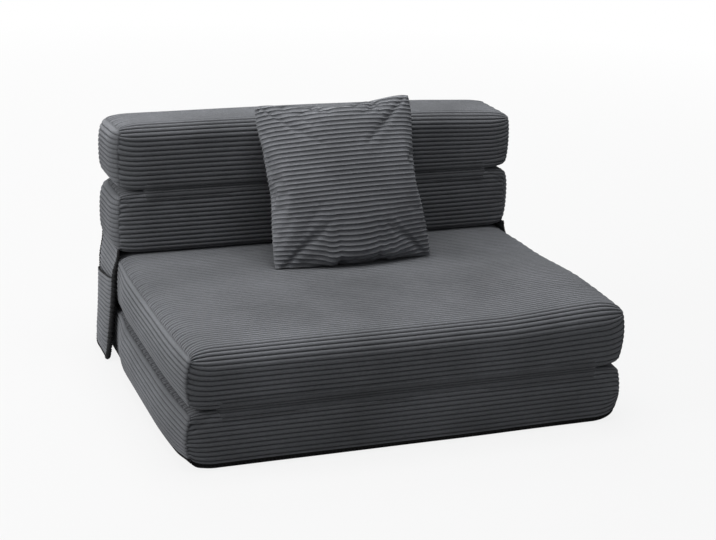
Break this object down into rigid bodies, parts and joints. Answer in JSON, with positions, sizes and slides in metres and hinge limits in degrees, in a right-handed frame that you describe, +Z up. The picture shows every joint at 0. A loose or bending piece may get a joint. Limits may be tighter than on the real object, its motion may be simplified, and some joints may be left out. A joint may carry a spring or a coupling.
{
  "type": "folding floor chair",
  "caption": "Folding floor chair of ribbed-fabric foam blocks stacked in a zigzag, with a loose pillow and pocketed side flaps; it unfolds flat into a bed.",
  "frame": {"origin": "on the floor, under the middle of the base block", "axes": "+X to the viewer's right, -Y out of the front of the chair, +Z up"},
  "size_m": [1.0228, 0.8256, 0.6171],
  "materials": {
    "corduroy": "wide-rib cut pile",
    "hinge_cloth": "ribbed cloth, sewn",
    "pillow_cover": "wide-rib cut pile",
    "foam": "open-cell foam",
    "fibre_fill": "loose fibre",
    "sole": "dotted non-slip cloth",
    "zip_tape": "woven tape",
    "zip_coil": "moulded coil",
    "zip_metal": "black lacquer"
  },
  "bodies": {
    "base": {"base_foam": "foam", "base_wrap": "corduroy", "base_left_end": "corduroy", "base_right_end": "corduroy", "base_zip_tape": "zip_tape", "base_zip_coil": "zip_coil", "base_front_leaf": "hinge_cloth", "base_sole": "sole"},
    "seat": {"seat_foam": "foam", "seat_wrap": "corduroy", "seat_left_end": "corduroy", "seat_right_end": "corduroy", "seat_zip_tape": "zip_tape", "seat_zip_coil": "zip_coil", "seat_front_leaf": "hinge_cloth", "seat_rear_leaf": "hinge_cloth"},
    "back": {"back_foam": "foam", "back_wrap": "corduroy", "back_left_end": "corduroy", "back_right_end": "corduroy", "back_zip_tape": "zip_tape", "back_zip_coil": "zip_coil", "back_rear_leaf": "hinge_cloth", "back_front_leaf": "hinge_cloth"},
    "head": {"head_foam": "foam", "head_wrap": "corduroy", "head_left_end": "corduroy", "head_right_end": "corduroy", "head_zip_tape": "zip_tape", "head_zip_coil": "zip_coil", "head_front_leaf": "hinge_cloth"},
    "left_flap": {"left_flap": "corduroy", "left_pocket": "corduroy"},
    "right_flap": {"right_flap": "corduroy", "right_pocket": "corduroy"},
    "pillow": {"pillow_front": "pillow_cover", "pillow_rear": "pillow_cover", "pillow_fill": "fibre_fill"},
    "base_slider": {"base_zip_slider": "zip_metal"},
    "base_pull": {"base_zip_pull": "zip_metal"},
    "seat_slider": {"seat_zip_slider": "zip_metal"},
    "seat_pull": {"seat_zip_pull": "zip_metal"},
    "back_slider": {"back_zip_slider": "zip_metal"},
    "back_pull": {"back_zip_pull": "zip_metal"},
    "head_slider": {"head_zip_slider": "zip_metal"},
    "head_pull": {"head_zip_pull": "zip_metal"}
  },
  "joints": [
    {"name": "seat_unfold", "type": "hinge", "parent": "base", "child": "seat", "pos_m": [0, -0.414, 0.132], "axis": [1, 0, 0], "range_deg": [0, 180]},
    {"name": "back_turn", "type": "hinge", "parent": "seat", "child": "back", "pos_m": [0, 0.414, 0.264], "axis": [-1, 0, 0], "range_deg": [0, 180]},
    {"name": "head_fold", "type": "hinge", "parent": "back", "child": "head", "pos_m": [0, 0.228, 0.418], "axis": [1, 0, 0], "range_deg": [0, 180]},
    {"name": "pillow_tip", "type": "hinge", "parent": "back", "child": "pillow", "pos_m": [0.03, -0.00645, 0.27511], "axis": [1, 0, 0], "range_deg": [0, 114]},
    {"name": "left_flap_swing", "type": "hinge", "parent": "back", "child": "left_flap", "pos_m": [-0.4954, 0.321, 0.276], "axis": [0, 1, 0], "range_deg": [0, 88]},
    {"name": "right_flap_swing", "type": "hinge", "parent": "back", "child": "right_flap", "pos_m": [0.4954, 0.321, 0.276], "axis": [0, -1, 0], "range_deg": [0, 88]},
    {"name": "base_slider_slide", "type": "slide", "parent": "base", "child": "base_slider", "axis": [-1, 0, 0], "range_m": [0, 0.752]},
    {"name": "seat_slider_slide", "type": "slide", "parent": "seat", "child": "seat_slider", "axis": [-1, 0, 0], "range_m": [0, 0.752]},
    {"name": "back_slider_slide", "type": "slide", "parent": "back", "child": "back_slider", "axis": [-1, 0, 0], "range_m": [0, 0.752]},
    {"name": "head_slider_slide", "type": "slide", "parent": "head", "child": "head_slider", "axis": [-1, 0, 0], "range_m": [0, 0.752]},
    {"name": "base_pull_swing", "type": "hinge", "parent": "base_slider", "child": "base_pull", "pos_m": [0.376, 0.4127, 0.0666], "axis": [0, 0, -1], "range_deg": [0, 180]},
    {"name": "seat_pull_swing", "type": "hinge", "parent": "seat_slider", "child": "seat_pull", "pos_m": [0.376, 0.4127, 0.198], "axis": [0, 0, -1], "range_deg": [0, 180]},
    {"name": "back_pull_swing", "type": "hinge", "parent": "back_slider", "child": "back_pull", "pos_m": [0.376, 0.4127, 0.341], "axis": [0, 0, -1], "range_deg": [0, 180]},
    {"name": "head_pull_swing", "type": "hinge", "parent": "head_slider", "child": "head_pull", "pos_m": [0.376, 0.4127, 0.493], "axis": [0, 0, -1], "range_deg": [0, 180]}
  ],
  "couplings": [
    {"joint": "back_turn", "follows": "seat_unfold", "ratio": 1},
    {"joint": "left_flap_swing", "follows": "seat_unfold", "ratio": 0.48889},
    {"joint": "right_flap_swing", "follows": "seat_unfold", "ratio": 0.48889},
    {"joint": "pillow_tip", "follows": "head_fold", "ratio": 0.63333}
  ]
}
